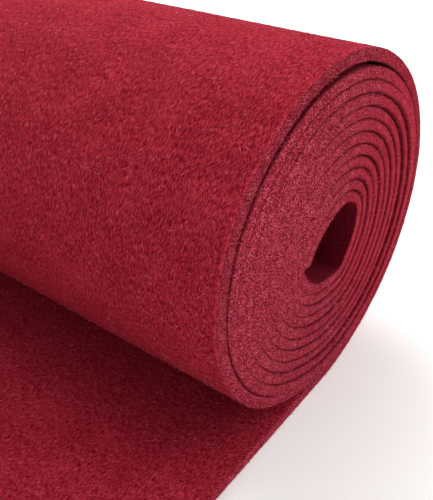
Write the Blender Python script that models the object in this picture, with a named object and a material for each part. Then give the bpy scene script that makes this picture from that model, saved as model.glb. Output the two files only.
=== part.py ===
# Roll of thick felt, wound from one cut length, with its outer end lying loose in front.
# Metres, +Z up. The roll lies along X on its flat spot and the loose end runs towards -Y.
# The origin is at the bottom centre of the whole piece, on the surface it lies on.
# The pressed turns are one mass: the gap that winds between them is a groove at each cut end.

import math

import bmesh
import bpy
from mathutils import Vector

# Driving sizes
SHEET_WIDTH = 0.500        # cut width of the felt, along the roll
LOOSE_THICKNESS = 0.0050   # the felt where nothing presses on it
WOUND_THICKNESS = 0.0042   # and where the winding has pressed it
LOOSE_REACH = 0.220        # from the roll's axis forward to the edge of the loose end
AXIS_HEIGHT = 0.0764       # the outer turns' axis above the surface
CORE_BACK = 0.0016         # the core lies a little behind that axis
CORE_DROP = 0.0044         # and has sunk a little below it
GROOVE_DEPTH = 0.006       # how far the gap between the turns reaches in from a cut end

# Winding, counted in turns inwards from the point straight below the axis
WOUND_TURNS = 11.745
CORE_TURNS = 12.0          # the turn that the table's core radius belongs to
STEPS_PER_TURN = 48
LOOSE_STEPS = 6
SECOND_TURN = (0.85, 1.05)     # stretch where the second turn tucks in under the first
PRESSED_FROM = (0.78, 1.02)    # stretch where the felt thins to its wound thickness
INNER_SWELL = (11.45, 11.70)   # stretch where it swells again at the free inner end

# Shape of the winding by the angle round the roll, in degrees and millimetres.
# Angle 0 is straight down, 90 the back, 180 the top and 270 the front.
# The roll sags to the low back, its open core is an uneven egg, and the first
# turn has sprung away from the second over the top and down the front.
WINDING = (
    # angle, outer radius, core radius, slack under the first turn
    (0, 76.4, 12.7, 0.0),
    (30, 78.7, 15.2, 0.0),
    (60, 82.0, 15.4, 0.0),
    (90, 82.1, 18.0, 0.1),
    (120, 77.8, 21.4, 0.3),
    (150, 74.5, 21.2, 0.8),
    (180, 75.0, 19.0, 1.0),
    (210, 76.5, 16.7, 0.8),
    (240, 77.7, 16.7, 0.7),
    (270, 75.4, 17.9, 0.6),
    (300, 73.3, 15.2, 0.4),
    (330, 72.6, 13.2, 0.1),
    (345, 73.7, 12.8, 0.0),
)
OUTER, CORE, SLACK = 1, 2, 3

FELT_RED = (0.330, 0.016, 0.034, 1.0)


def clear_scene():
    for item in list(bpy.data.objects):
        bpy.data.objects.remove(item, do_unlink=True)


def felt_material():
    material = bpy.data.materials.new("felt_red")
    material.use_nodes = True
    shader = material.node_tree.nodes["Principled BSDF"]
    shader.inputs["Base Color"].default_value = FELT_RED
    shader.inputs["Roughness"].default_value = 0.95
    shader.inputs["Metallic"].default_value = 0.0
    return material


def ease(value, stretch):
    # 0 before the stretch, 1 after it, and smooth between
    start, end = stretch
    t = min(max((value - start) / (end - start), 0.0), 1.0)
    return t * t * (3 - 2 * t)


def table_value(angle, column):
    # Smooth closed curve through the table's rows, in metres
    count = len(WINDING)
    row = max(k for k in range(count) if WINDING[k][0] <= angle)

    def station(k):
        turn, place = divmod(k, count)
        return WINDING[place][0] + 360 * turn, WINDING[place][column]

    before, start, end, after = (station(row + k) for k in (-1, 0, 1, 2))
    span = end[0] - start[0]
    slope_start = (end[1] - before[1]) / (end[0] - before[0])
    slope_end = (after[1] - start[1]) / (after[0] - start[0])
    t = (angle - start[0]) / span
    value = (
        (2 * t**3 - 3 * t**2 + 1) * start[1]
        + (t**3 - 2 * t**2 + t) * span * slope_start
        + (3 * t**2 - 2 * t**3) * end[1]
        + (t**3 - t**2) * span * slope_end
    )
    return value / 1000


def winding_point(turns):
    # Point of the sheet's outer face, as distance behind the axis and height
    angle = 360 * (turns % 1.0)
    inward = turns / CORE_TURNS
    radius = (1 - inward) * table_value(angle, OUTER) + inward * table_value(angle, CORE)
    # The turns under the first one make room for its thickness and its slack
    tuck = LOOSE_THICKNESS - WOUND_THICKNESS + table_value(angle, SLACK)
    radius -= tuck * ease(turns, SECOND_TURN) * (1 - inward)
    turn = math.radians(angle)
    if turns < 0.25:
        # The first turn starts on the surface, which gives the roll its flat spot
        radius = min(radius, AXIS_HEIGHT / math.cos(turn))
    back = CORE_BACK * inward + radius * math.sin(turn)
    height = AXIS_HEIGHT - CORE_DROP * inward - radius * math.cos(turn)
    return Vector((back, max(height, 0.0)))


def thickness_at(turns):
    pressed = ease(turns, PRESSED_FROM) - ease(turns, INNER_SWELL)
    return LOOSE_THICKNESS + (WOUND_THICKNESS - LOOSE_THICKNESS) * pressed


def sheet_section():
    # Outer and inner face of the felt, from the loose edge round to the core
    loose_turns = [0.0] * LOOSE_STEPS
    loose = [Vector((-LOOSE_REACH * (1 - k / LOOSE_STEPS), 0.0)) for k in range(LOOSE_STEPS)]
    steps = round(WOUND_TURNS * STEPS_PER_TURN)
    turns = [WOUND_TURNS * k / steps for k in range(steps + 1)]
    outer = loose + [winding_point(t) for t in turns]
    turns = loose_turns + turns

    inner = []
    last = len(outer) - 1
    for k, point in enumerate(outer):
        along = outer[min(k + 1, last)] - outer[max(k - 1, 0)]
        inward = Vector((-along.y, along.x)).normalized()
        inner.append(point + inward * thickness_at(turns[k]))

    every = outer + inner
    middle = (min(p.x for p in every) + max(p.x for p in every)) / 2
    shift = Vector((-middle, 0.0))
    return [p + shift for p in outer], [p + shift for p in inner]


def add_strip(solid, one, other, start, end):
    # Faces between two rows of points, from one station along the cloth to another
    for k in range(start, end):
        solid.faces.new((one[k], one[k + 1], other[k + 1], other[k]))


def add_bridge(solid, one, one_station, other, other_station):
    # One face along the roll, between a station of one row pair and one of another
    solid.faces.new((
        one[0][one_station],
        one[1][one_station],
        other[1][other_station],
        other[0][other_station],
    ))


def make_roll(material):
    outer_line, inner_line = sheet_section()
    half = SHEET_WIDTH / 2
    places = (-half, GROOVE_DEPTH - half, half - GROOVE_DEPTH, half)
    solid = bmesh.new()
    outer = [[solid.verts.new((x, p.x, p.y)) for p in outer_line] for x in places]
    inner = [[solid.verts.new((x, p.x, p.y)) for p in inner_line] for x in places]

    first = LOOSE_STEPS                # station where the first turn starts
    last = len(outer_line) - 1         # the free inner end
    covered = last - STEPS_PER_TURN    # up to here another turn lies inside the felt

    for end in (0, 3):
        add_strip(solid, outer[end], inner[end], 0, last)
    for a, b in ((0, 1), (2, 3)):
        add_strip(solid, outer[a], outer[b], 0, last)
        add_strip(solid, inner[a], inner[b], 0, last)
    for a, b in ((0, 1), (1, 2), (2, 3)):
        add_bridge(solid, (outer[a], outer[b]), 0, (inner[a], inner[b]), 0)
        add_bridge(solid, (outer[a], outer[b]), last, (inner[a], inner[b]), last)

    # Floor of the groove, from each turn's inner face to the next turn's outer face
    for a in (1, 2):
        add_strip(solid, inner[a], outer[a][STEPS_PER_TURN:], first, covered)

    # Between the grooves only the outside, the loose end and the open core have faces
    add_strip(solid, outer[1], outer[2], 0, first + STEPS_PER_TURN)
    add_strip(solid, inner[1], inner[2], 0, first)
    add_strip(solid, inner[1], inner[2], covered, last)
    add_bridge(solid, inner[1:3], first, outer[1:3], first + STEPS_PER_TURN)
    add_bridge(solid, inner[1:3], covered, outer[1:3], last)
    bmesh.ops.recalc_face_normals(solid, faces=list(solid.faces))

    mesh = bpy.data.meshes.new("felt_roll")
    solid.to_mesh(mesh)
    solid.free()
    mesh.materials.append(material)
    mesh.shade_smooth()
    mesh.set_sharp_from_angle(angle=math.radians(40))
    roll = bpy.data.objects.new("felt_roll", mesh)
    bpy.context.scene.collection.objects.link(roll)
    return roll


clear_scene()
make_roll(felt_material())
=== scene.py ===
# Roll of thick red needled felt, lying on its side with its outer end loose in front.
# Metres, +Z up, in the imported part's own frame.

import math

import bpy
import numpy as np
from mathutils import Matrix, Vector


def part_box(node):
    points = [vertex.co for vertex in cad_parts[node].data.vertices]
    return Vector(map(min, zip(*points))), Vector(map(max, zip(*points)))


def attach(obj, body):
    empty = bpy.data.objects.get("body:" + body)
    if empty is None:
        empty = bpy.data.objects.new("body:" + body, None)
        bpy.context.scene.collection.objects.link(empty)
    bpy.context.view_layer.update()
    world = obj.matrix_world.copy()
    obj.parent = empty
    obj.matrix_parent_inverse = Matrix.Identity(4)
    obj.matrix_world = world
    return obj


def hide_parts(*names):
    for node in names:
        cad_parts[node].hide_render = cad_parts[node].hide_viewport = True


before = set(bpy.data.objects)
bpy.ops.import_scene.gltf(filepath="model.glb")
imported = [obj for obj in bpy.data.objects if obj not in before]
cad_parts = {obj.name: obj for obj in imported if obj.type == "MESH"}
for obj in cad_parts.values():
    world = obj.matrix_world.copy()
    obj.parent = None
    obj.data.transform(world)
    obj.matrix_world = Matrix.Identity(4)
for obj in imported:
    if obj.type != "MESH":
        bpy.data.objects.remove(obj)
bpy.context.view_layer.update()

rollLow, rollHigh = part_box("felt_roll")

felt = {
    "halfWidth": rollHigh[0],         # half the cut width, along the roll
    "looseThickness": 0.0050,         # the felt where nothing presses on it
    "looseReach": 0.220,              # from the roll's axis forward to the loose edge
    "axisHeight": 0.0764,             # the outer turns' axis above the surface
    "coreBack": 0.0016,               # the core lies a little behind that axis
    "coreDrop": 0.0044,               # and has sunk a little below it
    "turns": 11.745,
    "coreTurns": 12.0,                # the turn that the table's core radius belongs to
    "tuck": 0.0008,                   # how far the second turn is drawn in under the first
    "secondTurn": (0.85, 1.05),       # stretch where it is drawn in
    "pressedFrom": (0.78, 1.02),      # stretch where the felt thins under the winding
    "innerSwell": (11.45, 11.70),     # stretch where it swells again at the free inner end
    "gapUneven": 0.45,                # share by which the gap between the turns varies
    "gapWaves": (0.083, 0.047, 0.029),
    "linePoints": 24001,              # points of the line round the winding
    "loosePoints": 1100,              # and of the one along the loose end
    "rowSpacing": 0.0030,             # mesh rows along the cloth
    "edgeInsets": (0.0016, 0.004, 0.010, 0.022),    # mesh columns beside a cut edge
    "innerColumns": 11,               # mesh columns across the cloth between them
    "cornerRadius": 0.0005,           # of the cut edges where nothing presses on them
    "pressedCorner": 0.0002,          # the least where the turns press on each other
    "firstCorner": 0.0005,            # and so much more beside the first gap
    "closedShare": 0.35,              # of the table's rounding where the gap is closed
    "turnOutside": (0.90, 1.10),      # stretch where the next turn comes to lie outside
    "turnInside": (0.02, 0.10),       # stretch where the next one comes to lie inside
    "turnOpens": (10.70, 10.76),      # and where the core leaves the felt open again
    "drift": 0.0003,                  # how far a cut edge wanders within a turn
    "driftSlow": (0.61, 0.34, 0.19),
    "driftQuick": (0.045, 0.026, 0.017),
    "driftReach": 0.08,               # how far in from a cut edge the cloth follows it
    "stepsFrom": (0.02, 0.20),        # stretch where the edge table takes hold
    "undulation": 0.00022,            # slow unevenness of the outside
    "undulationInset": 0.03,          # it grows from nothing over this from a cut edge
    "undulationWaves": (              # lengths along the cloth and across it, and a shift
        (0.117, 0.31, 0.1),
        (0.071, -0.19, 0.4),
        (0.23, 0.105, 0.7),
    ),
}

# The winding by the angle round the roll, in degrees and millimetres. Angle 0 is
# straight down, 90 the back, 180 the top and 270 the front. The gap is the dark line
# that is left between the pressed turns, the rounding is that of their cut edges
# beside it, and the shade is how dark the painted shade makes the faces in it, from 0 to 1.
windingTable = np.array((
    # angle, outer radius, core radius, slack under the first turn, gap, rounding, shade
    (0, 76.4, 12.7, 0.0, 0.14, 1.40, 0.90),
    (30, 78.7, 15.2, 0.0, 0.18, 1.50, 0.95),
    (60, 82.0, 15.4, 0.0, 0.30, 1.50, 1.00),
    (90, 82.1, 18.0, 0.1, 0.45, 1.50, 1.00),
    (120, 77.8, 21.4, 0.2, 0.45, 1.40, 1.00),
    (150, 74.5, 21.2, 0.6, 0.30, 1.10, 0.85),
    (180, 75.0, 19.0, 0.8, 0.14, 0.70, 0.45),
    (210, 76.5, 16.7, 0.1, 0.05, 0.30, 0.25),
    (240, 77.7, 16.7, -0.3, 0.04, 0.24, 0.22),
    (270, 75.4, 17.9, -0.1, 0.04, 0.24, 0.25),
    (300, 73.3, 15.2, -0.1, 0.05, 0.45, 0.42),
    (330, 72.6, 13.2, -0.1, 0.10, 1.00, 0.75),
    (345, 73.7, 12.8, 0.0, 0.12, 1.25, 0.85),
))
outerColumn, coreColumn, slackColumn, gapColumn, roundingColumn, shadeColumn = range(1, 7)

# How far each turn's cut edge stands back from the roll's near end, in millimetres, and
# the share of the table's gap that is left inside it. The turns under the first stand
# out at the back. At the far end they stand back by as much: the cloth has one width.
edgeTable = np.array((
    # turn, at the back, over the top, at the front, share of the gap
    (0, -0.25, -0.15, 0.00, 0.50),
    (1, -0.95, -0.60, 0.12, 0.25),
    (2, -2.40, -0.85, 0.14, 1.00),
    (3, -1.80, -1.10, 0.20, 0.90),
    (4, -1.00, -0.75, 0.28, 0.55),
    (5, -1.00, -0.65, 0.36, 0.80),
    (6, -0.70, -0.50, 0.50, 0.60),
    (7, -0.75, -0.55, 0.56, 0.90),
    (8, -0.45, -0.30, 0.62, 0.75),
    (9, -0.50, -0.30, 0.70, 0.80),
    (10, -0.35, -0.20, 0.76, 0.80),
    (11, -0.50, -0.30, 0.90, 0.80),
))
edgePlaces = (0.10, 0.36, 0.50, 0.75)    # parts of a turn: start and end of the back, top, front
edgeColumns = (1, 1, 2, 3)               # the column that holds at each of these places
shareColumn = 4


def ease(value, stretch):
    # 0 before the stretch, 1 after it, and smooth between
    start, end = stretch
    t = np.clip((value - start) / (end - start), 0.0, 1.0)
    return t * t * (3 - 2 * t)


def tableCurve(angle, column):
    # Smooth closed curve through the table's rows, in metres
    places = windingTable[:, 0]
    values = windingTable[:, column]
    places = np.concatenate([places[-1:] - 360, places, places[:2] + 360])
    values = np.concatenate([values[-1:], values, values[:2]])
    slopes = (values[2:] - values[:-2]) / (places[2:] - places[:-2])
    row = np.searchsorted(places, angle, side="right") - 1
    span = places[row + 1] - places[row]
    t = (angle - places[row]) / span
    curve = (
        (2 * t**3 - 3 * t**2 + 1) * values[row]
        + (t**3 - 2 * t**2 + t) * span * slopes[row - 1]
        + (3 * t**2 - 2 * t**3) * values[row + 1]
        + (t**3 - t**2) * span * slopes[row]
    )
    return curve / 1000


def windingRadius(turns):
    angle = 360 * (turns % 1.0)
    inward = turns / felt["coreTurns"]
    radius = (1 - inward) * tableCurve(angle, outerColumn) + inward * tableCurve(angle, coreColumn)
    tuck = felt["tuck"] + tableCurve(angle, slackColumn)
    return radius - tuck * ease(turns, felt["secondTurn"]) * (1 - inward)


def slowWave(place, lengths, seed):
    # Uneven wave between -1 and 1, from a few sines of these lengths
    draw = np.random.default_rng(seed)
    total = sum(np.sin(2 * np.pi * (place / length + draw.random())) for length in lengths)
    return total / len(lengths)


def gapShare(turns):
    return np.interp(turns, edgeTable[:, 0] + edgePlaces[0], edgeTable[:, shareColumn])


def feltThickness(turns, along):
    # Pressed turns fill the room between one and the next, but for the gap
    angle = 360 * (turns % 1.0)
    turn = np.radians(angle)
    sunk = felt["coreBack"] * np.sin(turn) + felt["coreDrop"] * np.cos(turn)
    pitch = windingRadius(turns) - windingRadius(turns + 1) - sunk / felt["coreTurns"]
    uneven = 1 + felt["gapUneven"] * slowWave(along, felt["gapWaves"], 3)
    gap = tableCurve(angle, gapColumn) * uneven * gapShare(turns)
    pressed = ease(turns, felt["pressedFrom"]) - ease(turns, felt["innerSwell"])
    return felt["looseThickness"] + (pitch - gap - felt["looseThickness"]) * pressed


def feltLine():
    # The cloth's outer face as one line from the loose edge to the free inner end,
    # with the length along it, the way inwards and the thickness at each point
    turns = np.linspace(0.0, felt["turns"], felt["linePoints"])
    turn = 2 * np.pi * turns
    radius = windingRadius(turns)
    standing = turns < 0.25
    flat = felt["axisHeight"] / np.cos(np.where(standing, turn, 0.0))
    radius = np.where(standing, np.minimum(radius, flat), radius)
    inward = turns / felt["coreTurns"]
    back = felt["coreBack"] * inward + radius * np.sin(turn)
    height = felt["axisHeight"] - felt["coreDrop"] * inward - radius * np.cos(turn)

    loose = np.linspace(-felt["looseReach"], 0.0, felt["loosePoints"], endpoint=False)
    back = np.concatenate([loose, back])
    height = np.maximum(np.concatenate([loose * 0, height]), 0.0)
    turns = np.concatenate([loose * 0, turns])
    along = np.concatenate([[0.0], np.cumsum(np.hypot(np.diff(back), np.diff(height)))])

    slopeBack, slopeHeight = np.gradient(back, along), np.gradient(height, along)
    long = np.hypot(slopeBack, slopeHeight)
    return {
        "along": along,
        "turns": turns,
        "y": back + rollLow[1] + felt["looseReach"],
        "z": height,
        "inY": -slopeHeight / long,
        "inZ": slopeBack / long,
        "thickness": feltThickness(turns, along),
    }


line = feltLine()
clothLength = line["along"][-1]
rollStart, secondStart = (float(np.interp(k, line["turns"], line["along"])) for k in (0, 1))
print(f"felt line: {clothLength:.3f} m along the outer face")


def onLine(name, along):
    return np.interp(along, line["along"], line[name])


def edgeDrift(along, side):
    # How far the cut edge stands back from the roll's end, at the end x = +1 or -1
    turns = onLine("turns", along)
    places = (edgeTable[:, :1] + edgePlaces).reshape(-1)
    values = edgeTable[:, edgeColumns].reshape(-1)
    stepped = np.interp(turns, places, values) * ease(turns, felt["stepsFrom"]) / 1000
    slow = slowWave(along, felt["driftSlow"], 11 + side)
    quick = slowWave(along, felt["driftQuick"], 21 + side)
    return stepped * side + felt["drift"] * (0.5 + 0.38 * slow + 0.12 * quick)


def edgeRounding(turns, outerSide):
    # Radius of the cut edge's two corners: rounder where the turns press on each other
    inside = ease(turns, felt["turnInside"]) - ease(turns, felt["turnOpens"])
    pressed = np.where(outerSide, ease(turns, felt["turnOutside"]), inside)
    share = np.where(outerSide, gapShare(turns - 1), gapShare(turns))
    closed = felt["closedShare"]
    tight = tableCurve(360 * (turns % 1.0), roundingColumn) * (closed + (1 - closed) * share)
    first = 1 - ease(np.where(outerSide, turns - 1, turns), felt["turnOutside"])
    tight = np.maximum(tight, felt["pressedCorner"] + felt["firstCorner"] * first)
    return felt["cornerRadius"] + (tight - felt["cornerRadius"]) * pressed


def linear(hexColour):
    # sRGB hex to the linear values that the shader wants
    parts = [int(hexColour[k:k + 2], 16) / 255 for k in (1, 3, 5)]
    return [p / 12.92 if p <= 0.04045 else ((p + 0.055) / 1.055) ** 2.4 for p in parts] + [1.0]


def addNode(tree, kind, settings=None, values=None, links=None, steps=()):
    # One shader node with its settings, its unlinked values, its links and a ramp's colours
    node = tree.nodes.new(kind)
    for name, value in (settings or {}).items():
        setattr(node, name, value)
    for socket, value in (values or {}).items():
        node.inputs[socket].default_value = value
    for socket, source in (links or {}).items():
        tree.links.new(source, node.inputs[socket])
    for k, (place, colour) in enumerate(steps):
        elements = node.color_ramp.elements
        element = elements[k] if k < 2 else elements.new(place)    # a new ramp has two
        element.position = place
        element.color = linear(colour)
    return node


def newMaterial(name, values):
    # A material with these values on its shader's own sockets
    material = bpy.data.materials.new(name)
    material.use_nodes = True
    tree = material.node_tree
    shader = tree.nodes["Principled BSDF"]
    for socket, value in values.items():
        shader.inputs[socket].default_value = value
    return material, tree, shader


# Needle-punched polyester felt, dyed deep red: matt, with short fibres lying in swirls,
# lighter where they cross on top and darker in the pits between them.
needledFelt = {
    "pit": "#690412",
    "body": "#9b1629",
    "fibre": "#cb3e52",
    "places": (0.49, 0.59, 0.685),    # where these three lie in the pattern's range
    # painted shade: the colour of the faces between the turns, the open core and the shaded edges
    "paintedShade": "#5a0718",
    # painted highlight on the rims
    "rimHighlight": "#de4458",
    "streakWidth": 0.22,     # mm from one streak to the next; real fibres are finer than a pixel
    "streakLength": 2.2,     # mm
    "swirl": 9.0,            # mm across a swirl
    "swirlReach": 3.0,       # mm that a swirl carries the streaks sideways
    "layers": ((4, 0.0), (-28, 37.0), (34, 91.0)),    # degrees from along the cloth, mm of shift
    "cloud": 16.0,           # mm across a lighter or darker patch
    "cloudShare": 0.07,
    "relief": 0.00032,       # m, depth of the fibre relief
    "roughness": 0.95,
    "specular": 0.05,
    "sheen": 0.08,
    "sheenRoughness": 0.4,
    "sheenColour": "#ff5068",
}


def feltCoordinates(tree):
    # The cloth's own map, in millimetres
    uv = addNode(tree, "ShaderNodeUVMap", {"uv_map": "cloth"})
    return addNode(
        tree, "ShaderNodeVectorMath", {"operation": "SCALE"},
        {"Scale": 1000.0}, {"Vector": uv.outputs[0]},
    ).outputs[0]


def swirlStreaks(tree, millimetres, angle, shift):
    # Streaks along one direction, carried round by a slow noise
    look = needledFelt
    placed = addNode(
        tree, "ShaderNodeMapping",
        values={"Location": (shift, -shift, shift)}, links={"Vector": millimetres},
    )
    slow = addNode(
        tree, "ShaderNodeTexNoise", {"noise_dimensions": "2D"},
        {"Scale": 1 / look["swirl"], "Detail": 1.0}, {"Vector": placed.outputs[0]},
    )
    centred = addNode(
        tree, "ShaderNodeVectorMath", {"operation": "SUBTRACT"},
        {1: (0.5, 0.5, 0.5)}, {0: slow.outputs["Color"]},
    )
    carried = addNode(
        tree, "ShaderNodeVectorMath", {"operation": "MULTIPLY_ADD"},
        {1: (look["swirlReach"],) * 3}, {0: centred.outputs[0], 2: placed.outputs[0]},
    )
    size = (look["streakWidth"], look["streakLength"], 1)
    turned = addNode(
        tree, "ShaderNodeMapping", {"vector_type": "TEXTURE"},
        {"Rotation": (0, 0, math.radians(angle)), "Scale": size}, {"Vector": carried.outputs[0]},
    )
    return addNode(
        tree, "ShaderNodeTexNoise", {"noise_dimensions": "2D"},
        {"Scale": 1.0, "Detail": 1.0, "Roughness": 0.6}, {"Vector": turned.outputs[0]},
    ).outputs["Fac"]


def paintedLightAndShade(tree, colour, pattern):
    # Painted highlight on the rims, and painted shade where little light reaches the felt
    # Painted highlight on the rims, where the fibre pattern is high
    rimHighlight = addNode(tree, "ShaderNodeAttribute", {"attribute_name": "rimHighlight"})
    strokes = addNode(    # from nothing at 0.40 of the pattern to all at 0.73
        tree, "ShaderNodeMath", {"operation": "MULTIPLY_ADD", "use_clamp": True},
        {1: 3.0, 2: -1.2}, {0: pattern},
    )
    highlightShare = addNode(
        tree, "ShaderNodeMath", {"operation": "MULTIPLY"},
        links={0: rimHighlight.outputs["Fac"], 1: strokes.outputs[0]},
    )
    lit = addNode(
        tree, "ShaderNodeMix", {"data_type": "RGBA"}, {"B": linear(needledFelt["rimHighlight"])},
        {"Factor": highlightShare.outputs[0], "A": colour},
    )
    # Painted shade, mixed in last
    paintedShade = addNode(tree, "ShaderNodeAttribute", {"attribute_name": "paintedShade"})
    return addNode(
        tree, "ShaderNodeMix", {"data_type": "RGBA"}, {"B": linear(needledFelt["paintedShade"])},
        {"Factor": paintedShade.outputs["Fac"], "A": lit.outputs["Result"]},
    ).outputs["Result"]


def makeNeedledFelt():
    look = needledFelt
    material, tree, shader = newMaterial("needledFelt", {
        "Roughness": look["roughness"],
        "Specular IOR Level": look["specular"],
        "Sheen Weight": look["sheen"],
        "Sheen Roughness": look["sheenRoughness"],
        "Sheen Tint": linear(look["sheenColour"]),
    })
    millimetres = feltCoordinates(tree)
    first, second, third = (
        swirlStreaks(tree, millimetres, angle, shift) for angle, shift in look["layers"]
    )
    # Half the highest of the three layers and half the mean of the first two
    higher = addNode(tree, "ShaderNodeMath", {"operation": "MAXIMUM"}, links={0: first, 1: second})
    highest = addNode(
        tree, "ShaderNodeMath", {"operation": "MAXIMUM"}, links={0: higher.outputs[0], 1: third}
    )
    both = addNode(tree, "ShaderNodeMath", {"operation": "ADD"}, links={0: first, 1: second})
    mixed = addNode(
        tree, "ShaderNodeMath", {"operation": "MULTIPLY_ADD"},
        {1: 0.5}, {0: both.outputs[0], 2: highest.outputs[0]},
    )
    height = addNode(
        tree, "ShaderNodeMath", {"operation": "MULTIPLY"}, {1: 0.5}, {0: mixed.outputs[0]}
    )
    cloud = addNode(
        tree, "ShaderNodeTexNoise", {"noise_dimensions": "2D"},
        {"Scale": 1 / look["cloud"], "Detail": 3.0}, {"Vector": millimetres},
    )
    tone = addNode(
        tree, "ShaderNodeMath", {"operation": "MULTIPLY_ADD"},
        {1: look["cloudShare"]}, {0: cloud.outputs["Fac"], 2: height.outputs[0]},
    )
    ramp = addNode(
        tree, "ShaderNodeValToRGB", links={"Fac": tone.outputs[0]},
        steps=zip(look["places"], (look["pit"], look["body"], look["fibre"])),
    )
    bump = addNode(
        tree, "ShaderNodeBump", values={"Strength": 1.0, "Distance": look["relief"]},
        links={"Height": height.outputs[0]},
    )
    painted = paintedLightAndShade(tree, ramp.outputs["Color"], tone.outputs[0])
    tree.links.new(painted, shader.inputs["Base Color"])
    tree.links.new(bump.outputs[0], shader.inputs["Normal"])
    return material


# The knife-cut edge of the same felt: fibre ends and the dark pits between them
cutFelt = {
    "pit": "#560213",
    "body": "#a01b32",
    "fibreEnd": "#de6275",
    "places": (0.44, 0.60, 0.80),    # where these three lie in the pattern's range
    "grain": 0.50,           # mm through the cloth
    "stretch": 1.5,          # times longer along it
    "lump": 2.5,             # mm across a lump of the grain
    "lumpShare": 0.2,
    "relief": 0.00064,       # m, depth of the pits
    "evenHeight": 0.59,      # of the grain where it is softest
    "roughness": 0.95,
    "specular": 0.06,
}


def makeCutFelt():
    look = cutFelt
    material, tree, shader = newMaterial("cutFelt", {
        "Roughness": look["roughness"],
        "Specular IOR Level": look["specular"],
    })
    millimetres = addNode(
        tree, "ShaderNodeMapping", values={"Scale": (1, 1 / look["stretch"], 1)},
        links={"Vector": feltCoordinates(tree)},
    ).outputs[0]
    grain = addNode(
        tree, "ShaderNodeTexNoise", {"noise_dimensions": "2D"},
        {"Scale": 1 / look["grain"], "Detail": 2.0, "Roughness": 0.7}, {"Vector": millimetres},
    )
    lumps = addNode(
        tree, "ShaderNodeTexNoise", {"noise_dimensions": "2D"},
        {"Scale": 1 / look["lump"], "Detail": 1.0}, {"Vector": millimetres},
    )
    height = addNode(
        tree, "ShaderNodeMath", {"operation": "MULTIPLY_ADD"}, {1: look["lumpShare"]},
        {0: lumps.outputs["Fac"], 2: grain.outputs["Fac"]},
    )
    # The grain is softer where the turns lie tight at the back
    soft = addNode(tree, "ShaderNodeAttribute", {"attribute_name": "soft"})
    evened = addNode(
        tree, "ShaderNodeMix", {"data_type": "FLOAT"}, {"B": look["evenHeight"]},
        {"Factor": soft.outputs["Fac"], "A": height.outputs[0]},
    )
    ramp = addNode(
        tree, "ShaderNodeValToRGB", links={"Fac": evened.outputs[0]},
        steps=zip(look["places"], (look["pit"], look["body"], look["fibreEnd"])),
    )
    bump = addNode(
        tree, "ShaderNodeBump", values={"Strength": 1.0, "Distance": look["relief"]},
        links={"Height": evened.outputs[0]},
    )
    painted = paintedLightAndShade(tree, ramp.outputs["Color"], grain.outputs["Fac"])
    tree.links.new(painted, shader.inputs["Base Color"])
    tree.links.new(bump.outputs[0], shader.inputs["Normal"])
    return material


# Single polyester fibres that stand up out of the felt, some lighter than others. The
# first value of a fibre's map says how light it is.
looseFibre = {
    "dark": "#7c1224",
    "light": "#d24459",
    "pale": "#f0a4ae",
    "places": (0.0, 0.5, 0.9, 1.0),    # of the dark, the felt's own body, the light and the pale
    "roughness": 0.9,
    "specular": 0.03,
}


def makeLooseFibre():
    look = looseFibre
    material, tree, shader = newMaterial("looseFibre", {
        "Roughness": look["roughness"],
        "Specular IOR Level": look["specular"],
    })
    uv = addNode(tree, "ShaderNodeUVMap", {"uv_map": "cloth"})
    split = addNode(tree, "ShaderNodeSeparateXYZ", links={"Vector": uv.outputs[0]})
    ramp = addNode(
        tree, "ShaderNodeValToRGB", links={"Fac": split.outputs[0]},
        steps=zip(look["places"], (look["dark"], needledFelt["body"], look["light"], look["pale"])),
    )
    tree.links.new(ramp.outputs["Color"], shader.inputs["Base Color"])
    return material


feltMaterial = makeNeedledFelt()
cutMaterial = makeCutFelt()
fibreMaterial = makeLooseFibre()
print("materials made")


ringColumns = ("end", "inset", "roundInset", "share", "roundDepth", "facing", "cut")


def clothRing():
    # The cloth's cross-section as a closed ring of columns. Each has its end (+1 or -1), its
    # inset from that end and its share of the thickness, with what a rounded corner adds to
    # both in parts of the rounding. Then come how much it belongs to a face (1) or to the
    # cut edge (0), and whether the mesh face after it is part of the cut edge.
    inside = felt["edgeInsets"][-1]
    span = 2 * (felt["halfWidth"] - inside)
    count = felt["innerColumns"]
    towards = list(felt["edgeInsets"])
    middle = [inside + span * k / (count + 1) for k in range(1, count + 1)]
    outerFace = [(1, inset, 0.0, 0.0, 0.0, 1.0, 0) for inset in towards + middle]
    outerFace += [(-1, inset, 0.0, 0.0, 0.0, 1.0, 0) for inset in reversed(towards)]

    # Both cut edges, each from the outer face round to the inner one
    corner = [math.radians(30 * k) for k in range(4)]
    facing = (1.0, 0.9, 0.5, 0.12)
    edges = {}
    for end in (1, -1):
        edge = [
            (end, 0.0, 1 - math.sin(a), 0.0, 1 - math.cos(a), f, 1) for a, f in zip(corner, facing)
        ]
        edge += [(end, 0.0, 0.0, share, 0.0, 0.0, 1) for share in (0.4, 0.6)]
        edge += [
            (end, 0.0, 1 - math.sin(a), 1.0, math.cos(a) - 1, f, 1)
            for a, f in zip(reversed(corner), reversed(facing))
        ]
        edges[end] = edge
    innerFace = [(end, inset, 0.0, 1.0, 0.0, 1.0, 0) for end, inset, *_ in reversed(outerFace)]
    farEdge = edges[-1]
    nearEdge = edges[1][::-1]
    for edge in (farEdge, nearEdge):
        edge[-1] = edge[-1][:-1] + (0,)    # after its last column a face of the cloth follows
    ring = np.array(outerFace + farEdge + innerFace + nearEdge)
    return {name: ring[:, k] for k, name in enumerate(ringColumns)}


def clothRows():
    # Distances along the cloth of the mesh rows, with the corner's own rows at both ends
    radius = felt["cornerRadius"]
    corner = [radius * (1 - math.cos(math.radians(a))) for a in (0, 35, 65, 90)]
    count = round((clothLength - 2 * radius) / felt["rowSpacing"])
    middle = np.linspace(radius, clothLength - radius, count + 1)[1:-1]
    return np.concatenate([corner, middle, [clothLength - c for c in reversed(corner)]])


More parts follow.
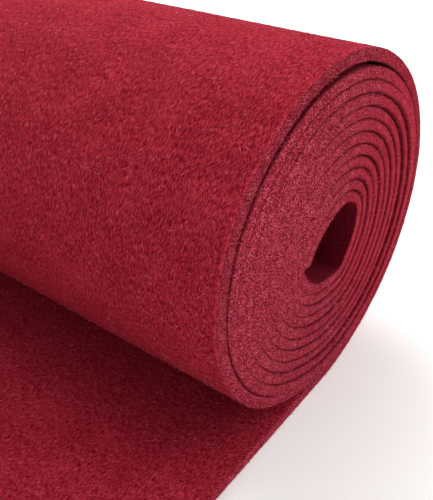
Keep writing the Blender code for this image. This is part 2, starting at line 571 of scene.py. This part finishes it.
def undulation(along, x):
    # Slow unevenness of the outside, nothing at the cut edges
    inset = np.clip((felt["halfWidth"] - np.abs(x)) / felt["undulationInset"], 0, 1)
    waves = felt["undulationWaves"]
    wave = sum(np.sin(2 * np.pi * (along / a + x / b + shift)) for a, b, shift in waves)
    return felt["undulation"] * inset * wave / len(waves)


# Painted shade where little light reaches the felt, painted highlight on its rims and softer
# cut grain, each from 0 to 1. Angles are in degrees, other stretches in turns.
shading = {
    "upFront": ((190, 230), (315, 345)),    # angles where the front of the roll starts and ends
    "outerFaceHidden": (1.00, 1.06),
    "innerFaceHidden": (0.02, 0.07),
    "coreOpens": (10.72, 10.76),
    # painted shade inside the open core
    "core": 0.82,
    "firstGap": 0.90,               # painted shade in the gap under the first turn
    "firstGapEnds": (1.0, 1.1),
    "firstGapFront": 0.5,           # how much less it is darkened in front
    "outermostEnds": (0.98, 1.02),
    "topEdge": 0.28,                # painted shade on the outermost cut edge, from the top down the front
    "topAngles": ((150, 190), (250, 300)),
    "backEdge": 0.35,               # and at the back
    "lowFront": 0.30,               # painted shade on the outside low in front
    "lowAngles": (265, 310),
    "rimHighlight": 0.25,                    # painted highlight on the outermost turn's outer rim
    "rimFront": 0.65,               # more of it in front
    "edgeRimFront": 0.15,           # painted highlight on the cut edge beside a rim, in front
    "backHighlight": 0.22,                # painted highlight on the cut edges of the other turns at the back
    "backHighlightOuter": 0.45,           # more of it on the outer three
    "outerThreeEnd": (2.5, 3.0),
    "soft": 0.6,                    # the cut grain at the back
}


def between(value, stretches):
    # 1 between the two stretches and 0 outside them
    return ease(value, stretches[0]) * (1 - ease(value, stretches[1]))


def feltShading(turns, ring):
    # The values of the three attributes, for each row and column of the mesh
    angle = 360 * (turns % 1.0)
    toBack = np.sin(np.radians(angle))
    upFront = between(angle, shading["upFront"])
    outermost = 1 - ease(turns, shading["outermostEnds"])
    facing, cutFace = ring["facing"], 1 - ring["facing"]
    outerSide, innerSide = ring["share"] < 0.5, ring["share"] > 0.5

    # Painted shade: between the turns, in the open core, on the outermost cut edge and low in front
    shade = tableCurve(angle, shadeColumn) * 1000
    ends = shading["firstGapEnds"]
    firstGap = 1 - ease(np.where(outerSide, turns - 1, turns), ends)
    lessInFront = 1 - shading["firstGapFront"] * upFront
    deepest = shading["firstGap"]
    shade = shade + (deepest - shade) * firstGap * (shade < deepest) * lessInFront
    coreOpens = ease(turns, shading["coreOpens"])
    gapShadeOuter = ease(turns, shading["outerFaceHidden"]) * outerSide
    gapShadeInner = ease(turns, shading["innerFaceHidden"]) * (1 - coreOpens) * innerSide
    coreShade = coreOpens * innerSide * facing * shading["core"]
    inShade = cutFace * shading["topEdge"] * between(angle, shading["topAngles"])
    inShade = inShade + cutFace * shading["backEdge"] * np.clip(toBack, 0, 1)
    inShade = inShade + outerSide * shading["lowFront"] * ease(angle, shading["lowAngles"])
    paintedShade = (gapShadeOuter + gapShadeInner) * facing * shade + coreShade + inShade * outermost

    # Painted highlight on the outermost turn's rim and, at the back, on the other turns' cut edges
    atCorner = (ring["inset"] < 0.001) * outerSide
    rimHighlight = atCorner * (facing > 0.6) * outermost * (shading["rimHighlight"] + shading["rimFront"] * upFront)
    rimHighlight = rimHighlight + atCorner * (facing < 0.6) * shading["edgeRimFront"] * upFront
    outerThree = 1 - ease(turns, shading["outerThreeEnd"])
    backHighlight = shading["backHighlight"] + shading["backHighlightOuter"] * outerThree
    rimHighlight = rimHighlight + cutFace * backHighlight * np.clip(toBack, 0, 1) * (1 - outermost)

    soft = shading["soft"] * ease(toBack, (0.0, 0.8)) * np.ones_like(facing)
    return {"paintedShade": np.clip(paintedShade, 0, 1), "rimHighlight": rimHighlight, "soft": soft}


def makeFelt():
    ring = clothRing()
    rows = clothRows()
    ends, shares = ring["end"], ring["share"]
    turns = onLine("turns", rows)[:, None]

    rounding = edgeRounding(turns, shares < 0.5)
    insets = ring["inset"] + ring["roundInset"] * rounding
    depths = ring["roundDepth"] * rounding

    # Rows within a corner radius of the cloth's two short edges are drawn in to round them
    radius = felt["cornerRadius"]
    toEdge = np.minimum(np.minimum(rows, clothLength - rows), radius)
    drawnIn = radius - np.sqrt(np.maximum(radius**2 - (radius - toEdge) ** 2, 0.0))

    thickness = onLine("thickness", rows)[:, None]
    depth = shares * thickness + depths
    depth = drawnIn[:, None] + depth * (thickness - 2 * drawnIn[:, None]) / thickness
    drift = np.where(ends > 0, edgeDrift(rows, 1)[:, None], edgeDrift(rows, -1)[:, None])
    nearEnd = np.clip(1 - insets / felt["driftReach"], 0, 1)
    x = ends * (felt["halfWidth"] - insets - drift * nearEnd)

    # The outermost turn and the loose end's top are a little uneven
    outside = ease(turns, (0.10, 0.16)) * (1 - ease(turns, (0.90, 0.98)))
    depth = depth - undulation(rows[:, None], x) * outside * (1 - shares)
    looseTop = 1 - ease(rows[:, None], (0.12, 0.20))
    depth = depth + undulation(rows[:, None] + 0.5, x) * looseTop * shares

    y = onLine("y", rows)[:, None] + onLine("inY", rows)[:, None] * depth
    z = onLine("z", rows)[:, None] + onLine("inZ", rows)[:, None] * depth
    points = np.stack([x, y, np.maximum(z, 0.0)], axis=2).reshape(-1, 3)

    rowCount, ringCount = len(rows), len(shares)
    row, column = np.meshgrid(np.arange(rowCount - 1), np.arange(ringCount), indexing="ij")
    after = (column + 1) % ringCount
    faces = np.stack(
        [
            row * ringCount + column,
            row * ringCount + after,
            (row + 1) * ringCount + after,
            (row + 1) * ringCount + column,
        ],
        axis=2,
    ).reshape(-1, 4)
    faceCut = np.broadcast_to(ring["cut"], (rowCount - 1, ringCount)).reshape(-1)

    # One face closes each of the two short edges
    lastRow = (rowCount - 1) * ringCount
    caps = [list(range(ringCount))[::-1], list(range(lastRow, lastRow + ringCount))]

    mesh = bpy.data.meshes.new("felt")
    mesh.from_pydata(points.tolist(), [], faces.tolist() + caps)
    mesh.materials.append(feltMaterial)
    mesh.materials.append(cutMaterial)
    indices = np.concatenate([faceCut.astype(np.int32), [1, 1]])
    mesh.polygons.foreach_set("material_index", indices)
    mesh.shade_smooth()

    # Unrolled map in metres: across the ring, and along the cloth
    middleRow = points.reshape(rowCount, ringCount, 3)[rowCount // 2]
    steps = np.linalg.norm(np.roll(middleRow, -1, axis=0) - middleRow, axis=1)
    around = np.concatenate([[0.0], np.cumsum(steps)])
    low = np.stack([around[column], rows[row]], axis=2)
    lowAfter = np.stack([around[column + 1], rows[row]], axis=2)
    highAfter = np.stack([around[column + 1], rows[row + 1]], axis=2)
    high = np.stack([around[column], rows[row + 1]], axis=2)
    faceMaps = np.stack([low, lowAfter, highAfter, high], axis=2).reshape(-1, 2)
    capMaps = []
    for cap in caps:
        capMaps.extend((float(points[k][0]) + 5.0, float(depth.reshape(-1)[k])) for k in cap)
    mesh.uv_layers.new(name="cloth")
    mesh.uv_layers["cloth"].data.foreach_set("uv", np.concatenate([faceMaps, capMaps]).reshape(-1))

    for name, values in feltShading(turns, ring).items():
        layer = mesh.attributes.new(name, "FLOAT", "POINT")
        layer.data.foreach_set("value", np.ascontiguousarray(values.reshape(-1), dtype=np.float32))
    mesh.validate()

    piece = bpy.data.objects.new("felt", mesh)
    bpy.context.scene.collection.objects.link(piece)
    return piece


feltPiece = makeFelt()
print(f"felt: {len(feltPiece.data.polygons)} faces")


def swirlAngle(along, x, settings, seed):
    # Slowly turning direction of the fibres on the cloth
    draw = np.random.default_rng(seed)
    angle = 0.0
    for length in settings["swirls"]:
        a, b = draw.uniform(-1, 1, 2) / length
        angle = angle + settings["swirlTurn"] * np.sin(2 * np.pi * (along * a + x * b + draw.random()))
    return angle


def surfacePoint(side, along, x, height):
    # Point on one side of the cloth, that far above its surface
    if side == "outer":
        depth = -undulation(along, x) - height
    else:
        depth = onLine("thickness", along) + height
    y = onLine("y", along) + onLine("inY", along) * depth
    z = onLine("z", along) + onLine("inZ", along) * depth
    return np.stack([x, y, z], axis=-1)


def spindles(name, centres, width, tone):
    # Fibres as closed three-sided spindles through the given points: a tip, rings, a tip
    count, steps = centres.shape[:2]
    way = np.gradient(centres, axis=1)
    way /= np.linalg.norm(way, axis=2, keepdims=True)
    level = np.abs(way[..., 2:3]) <= 0.8    # a fibre that stands up is crossed with X, not with Z
    other = np.where(level, [[[0, 0, 1.0]]], [[[1.0, 0, 0]]])
    across = np.cross(way, other)
    across /= np.linalg.norm(across, axis=2, keepdims=True)
    up = np.cross(way, across)

    rings = []
    for k in range(1, steps - 1):
        for corner in range(3):
            a = 2 * np.pi * corner / 3
            offset = across[:, k] * math.cos(a) + up[:, k] * math.sin(a)
            rings.append(centres[:, k] + offset * width[:, None] / 2)
    body = np.stack([centres[:, 0]] + rings + [centres[:, -1]], axis=1)

    faces = []
    for corner in range(3):
        following = (corner + 1) % 3
        faces.append((0, 1 + following, 1 + corner))
        for k in range(steps - 3):
            a, b = 1 + 3 * k + corner, 1 + 3 * k + following
            faces.append((a, b, b + 3))
            faces.append((a, b + 3, a + 3))
        last = 1 + 3 * (steps - 3)
        faces.append((last + corner, last + following, last + 3))
    pointCount = body.shape[1]
    single = np.array(faces)
    every = (single[None] + (np.arange(count) * pointCount)[:, None, None]).reshape(-1, 3)

    mesh = bpy.data.meshes.new(name)
    mesh.from_pydata(body.reshape(-1, 3).tolist(), [], every.tolist())
    mesh.materials.append(fibreMaterial)
    mesh.uv_layers.new(name="cloth")
    tones = np.repeat(tone, len(faces) * 3)
    uv = np.stack([tones, np.zeros_like(tones)], axis=1)
    mesh.uv_layers["cloth"].data.foreach_set("uv", uv.reshape(-1))
    mesh.shade_smooth()
    piece = bpy.data.objects.new(name, mesh)
    bpy.context.scene.collection.objects.link(piece)
    return piece


def lyingFibres(name, side, start, end, settings, seed):
    # Fibres that lie on a face of the cloth and lift at one end
    draw = np.random.default_rng(seed)
    count = settings["count"]
    along = draw.uniform(start, end, count)
    x = draw.uniform(-1, 1, count) * (felt["halfWidth"] - settings["inset"])
    shortest, longest = settings["length"]
    length = shortest + (longest - shortest) * draw.random(count) ** 2
    angle = swirlAngle(along, x, settings, seed + 1) + draw.normal(0, settings["scatter"], count)
    bend = draw.normal(0, settings["bend"], count)
    lift = settings["lift"] * draw.random(count) ** 3
    width = draw.uniform(*settings["width"], count)
    centres = []
    for k in range(3):
        centres.append(surfacePoint(side, along, x, settings["float"] + lift * (k / 2) ** 2))
        along = np.clip(along + np.cos(angle) * length / 2, start, end)
        x = np.clip(x + np.sin(angle) * length / 2, -felt["halfWidth"], felt["halfWidth"])
        angle = angle + bend
    return spindles(name, np.stack(centres, axis=1), width, np.sqrt(draw.random(count)))


def standingFibres(name, end, settings, seed):
    # Fibre ends that stand out of a cut edge, more of them near its two faces
    draw = np.random.default_rng(seed)
    count = settings["count"]
    along = draw.uniform(0.0, clothLength, count)
    share = 0.5 - 0.5 * np.cos(np.pi * draw.random(count))
    out = draw.uniform(*settings["length"], count)
    lean = draw.normal(0, settings["lean"], (2, count))
    width = draw.uniform(*settings["width"], count)

    # Their feet follow the rounded corners
    rounding = edgeRounding(onLine("turns", along), share < 0.5)
    fromFace = np.minimum(share, 1 - share) * onLine("thickness", along)
    short = np.clip(rounding - fromFace, 0, None)
    inset = rounding - np.sqrt(np.maximum(rounding**2 - short**2, 0.0))
    base = felt["halfWidth"] - edgeDrift(along, end) - settings["follow"] * inset
    centres = []
    for k in range(3):
        reach = out * (k / 2 - settings["rooted"])
        place = along + lean[0] * out * k / 2
        thickness = onLine("thickness", place)
        depth = np.clip(share * thickness + lean[1] * out * k / 2, 0.0, thickness)
        y = onLine("y", place) + onLine("inY", place) * depth
        z = onLine("z", place) + onLine("inZ", place) * depth
        z = np.maximum(z, settings["lowest"])
        centres.append(np.stack([end * (base + reach), y, z], axis=-1))
    return spindles(name, np.stack(centres, axis=1), width, draw.random(count))


# Both kinds of fibre are drawn coarser than real ones, so that they show
faceFuzz = {
    "count": 28000,
    "length": (0.0012, 0.0036),
    "width": (0.00009, 0.00015),
    "inset": 0.0015,                # from the cut edges
    "float": 0.00002,               # above the felt
    "lift": 0.0005,
    "bend": 0.25,                   # radians from one half of a fibre to the next
    "scatter": 0.7,                 # radians from the way of the swirl
    "swirls": (0.021, 0.034, 0.055),
    "swirlTurn": 1.3,
}
edgeFuzz = {
    "count": 26000,
    "length": (0.0003, 0.0012),
    "width": (0.00008, 0.00016),
    "lean": 1.2,
    "follow": 0.8,                  # how far their feet sink with a rounded corner
    "rooted": 0.25,                 # share of a fibre that is inside the felt
    "lowest": 0.0002,               # above the surface that the roll lies on
}

rollTop = (rollStart + secondStart) / 2
fuzzPieces = [
    lyingFibres("fuzz_outside_back", "outer", rollStart + 0.03, rollTop, faceFuzz, 101),
    lyingFibres("fuzz_outside_front", "outer", rollTop, secondStart - 0.01, faceFuzz, 102),
    lyingFibres("fuzz_loose_end", "inner", 0.001, rollStart - 0.01, faceFuzz, 103),
    standingFibres("fuzz_cut_near", 1, edgeFuzz, 104),
    standingFibres("fuzz_cut_far", -1, edgeFuzz, 105),
]
print("fuzz:", sum(len(piece.data.polygons) for piece in fuzzPieces), "faces")

for piece in [feltPiece] + fuzzPieces:
    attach(piece, "root")
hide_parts("felt_roll")

studio = {
    "floorSide": 40.0,
    "floorDrop": 0.0003,        # just below the felt
    "floorColour": "#f4f3f2",
    "floorRoughness": 0.9,
    "floorGlow": 0.25,
    "worldColour": "#ffffff",
    "worldStrength": 0.54,
    "lightsAim": (0, 0.05, 0.07),
    "keyPlace": (-0.54, 0.37, 1.10),
    "keySize": 1.2,
    "keyPower": 17.5,
    "fillPlace": (0.95, 1.00, 0.60),
    "fillSize": 0.8,
    "fillPower": 9.0,
}


def makeFloor():
    bpy.ops.object.select_all(action="DESELECT")
    place = (0, 0, -studio["floorDrop"])
    bpy.ops.mesh.primitive_plane_add(size=studio["floorSide"], location=place)
    floor = bpy.context.active_object
    floor.name = "floor"
    material, tree, shader = newMaterial("studioPaper", {
        "Base Color": linear(studio["floorColour"]),
        "Roughness": studio["floorRoughness"],
        "Emission Color": linear(studio["floorColour"]),
        "Emission Strength": studio["floorGlow"],
    })
    floor.data.materials.append(material)


def makeLight(name, place, size, power):
    light = bpy.data.lights.new(name, "AREA")
    light.size = size
    light.energy = power
    holder = bpy.data.objects.new(name, light)
    holder.location = place
    way = Vector(studio["lightsAim"]) - Vector(place)
    holder.rotation_euler = way.to_track_quat("-Z", "Y").to_euler()
    bpy.context.scene.collection.objects.link(holder)


def makeWorld():
    world = bpy.data.worlds.new("studio")
    world.use_nodes = True
    background = world.node_tree.nodes["Background"]
    background.inputs["Color"].default_value = linear(studio["worldColour"])
    background.inputs["Strength"].default_value = studio["worldStrength"]
    bpy.context.scene.world = world


camera = {
    "place": (0.3439, -0.1273, 0.2149),
    "look": (-0.5018, 0.6649, -0.5533),
    "lens": 48.3,               # on the long, upright side of the picture
}


def makeCamera():
    data = bpy.data.cameras.new("camera")
    data.sensor_width = 36.0
    data.lens = camera["lens"]
    data.clip_start = 0.01
    holder = bpy.data.objects.new("camera", data)
    holder.location = camera["place"]
    holder.rotation_euler = Vector(camera["look"]).to_track_quat("-Z", "Y").to_euler()
    bpy.context.scene.collection.objects.link(holder)
    bpy.context.scene.camera = holder


makeFloor()
makeWorld()
makeLight("key", studio["keyPlace"], studio["keySize"], studio["keyPower"])
makeLight("fill", studio["fillPlace"], studio["fillSize"], studio["fillPower"])
makeCamera()
bpy.context.scene.view_settings.view_transform = "Standard"
print("studio made")
